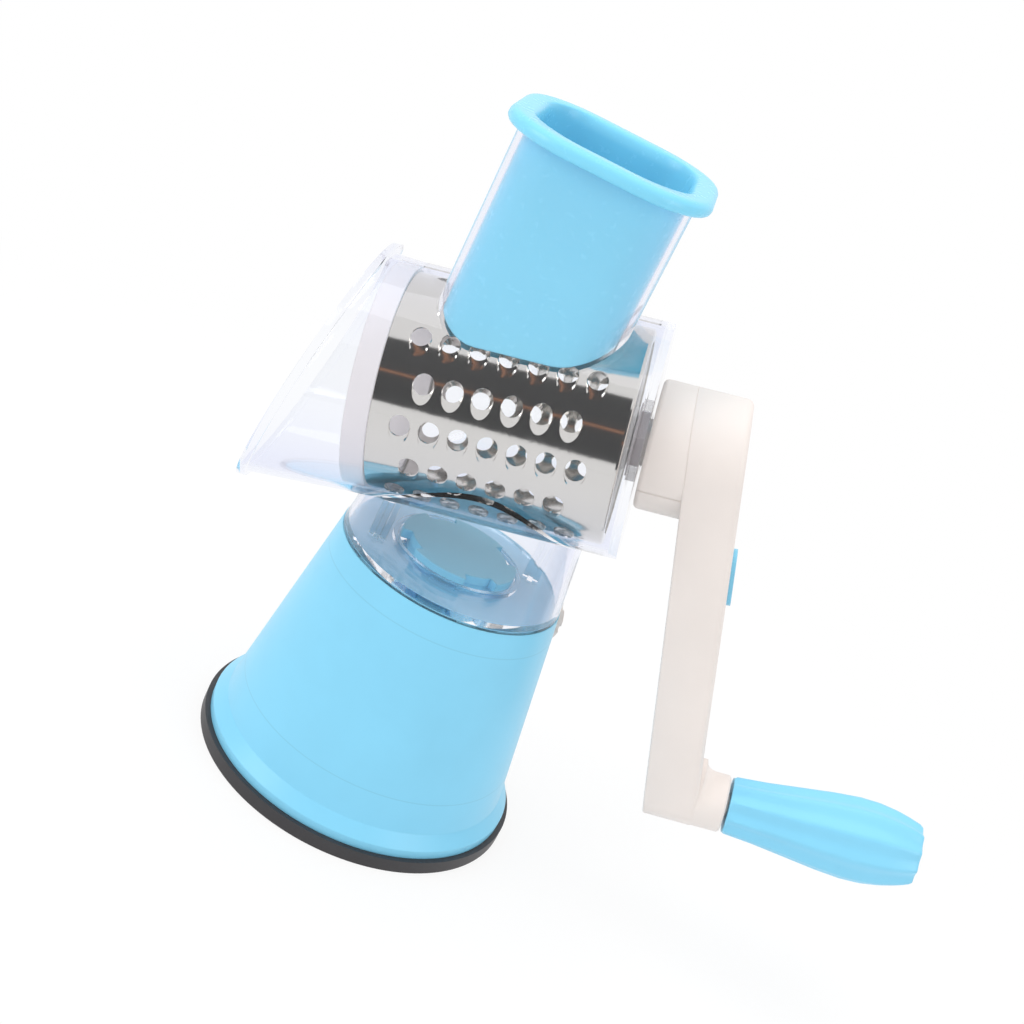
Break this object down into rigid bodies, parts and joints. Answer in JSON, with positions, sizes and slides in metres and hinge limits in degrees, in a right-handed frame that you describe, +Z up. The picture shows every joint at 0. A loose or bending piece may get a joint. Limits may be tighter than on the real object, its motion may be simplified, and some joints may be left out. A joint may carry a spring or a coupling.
{
  "type": "rotary cabbage shredder",
  "caption": "Tabletop drum shredder: conical suction foot, clear head with slanted outlet and square feed chute, perforated steel drum, pusher, hand crank with fluted grip.",
  "frame": {"origin": "centre of the foot's resting face", "axes": "+Z up along the base's axis, +X towards the crank, -Y the side facing the cook; the drum axis lies in the XZ plane, 13.6 degrees above +X"},
  "size_m": [0.2757, 0.12, 0.2446],
  "materials": {
    "suction_pad": "matte black rubber",
    "base_shell": "satin light blue moulded plastic",
    "suction_stem": "plain moulded plastic",
    "cam_shaft": "turned steel",
    "suction_knob": "off-white moulded plastic",
    "knob_screw": "zinc plated steel",
    "stem_guide": "plain moulded plastic",
    "guide_screws": "zinc plated steel",
    "head": "clear moulded plastic with a faint blue cast at the edges",
    "shaft_bush": "white plastic",
    "drum_sleeve": "mirror polished stainless sheet",
    "drum_ring": "translucent white plastic",
    "drum_hub": "white plastic",
    "pusher": "satin light blue moulded plastic",
    "crank_arm": "off-white moulded plastic",
    "crank_back": "off-white moulded plastic",
    "drive_shaft": "turned steel",
    "hub_screw": "zinc plated steel",
    "release_button": "light blue moulded plastic",
    "button_spring": "spring steel wire",
    "grip_spindle": "turned steel",
    "grip": "satin light blue moulded plastic",
    "grip_cap": "satin light blue moulded plastic"
  },
  "bodies": {
    "base": {"suction_pad": "suction_pad", "base_shell": "base_shell", "stem_guide": "stem_guide", "guide_screws": "guide_screws"},
    "stem": {"suction_stem": "suction_stem"},
    "knob": {"cam_shaft": "cam_shaft", "suction_knob": "suction_knob", "knob_screw": "knob_screw"},
    "head_body": {"head": "head", "shaft_bush": "shaft_bush"},
    "pusher_body": {"pusher": "pusher"},
    "crank": {"crank_arm": "crank_arm", "crank_back": "crank_back", "drive_shaft": "drive_shaft", "hub_screw": "hub_screw", "button_spring": "button_spring", "grip_spindle": "grip_spindle"},
    "drum": {"drum_sleeve": "drum_sleeve", "drum_ring": "drum_ring", "drum_hub": "drum_hub"},
    "button": {"release_button": "release_button"},
    "hand_grip": {"grip": "grip", "grip_cap": "grip_cap"}
  },
  "joints": [
    {"name": "knob_turn", "type": "hinge", "parent": "base", "child": "knob", "pos_m": [0, 0, 0.071], "axis": [0.7071, 0.7071, 0], "range_deg": [0, 180]},
    {"name": "stem_lift", "type": "slide", "parent": "base", "child": "stem", "axis": [0, 0, 1], "range_m": [0, 0.003]},
    {"name": "head_turn", "type": "hinge", "parent": "base", "child": "head_body", "pos_m": [0, 0, 0.09], "axis": [0, 0, 1], "range_deg": [0, 35]},
    {"name": "pusher_lift", "type": "slide", "parent": "head_body", "child": "pusher_body", "axis": [0, 0, 1], "range_m": [0, 0.09]},
    {"name": "crank_spin", "type": "hinge", "parent": "head_body", "child": "crank", "pos_m": [0, 0, 0.1522], "axis": [0.972, 0, 0.2351], "continuous": true},
    {"name": "drum_out", "type": "slide", "parent": "crank", "child": "drum", "axis": [-0.972, 0, -0.2351], "range_m": [0, 0.13]},
    {"name": "button_press", "type": "slide", "parent": "crank", "child": "button", "axis": [-0.937, 0, -0.3493], "range_m": [0, 0.002], "stiffness_N_per_m": 300, "springref_m": -0.002, "deforming": ["button_spring"]},
    {"name": "grip_spin", "type": "hinge", "parent": "crank", "child": "hand_grip", "pos_m": [0.15587, 0, 0.06079], "axis": [0.972, 0, 0.2351], "continuous": true}
  ],
  "couplings": [
    {"joint": "stem_lift", "follows": "knob_turn", "m_per_rad": 0.00095493}
  ]
}
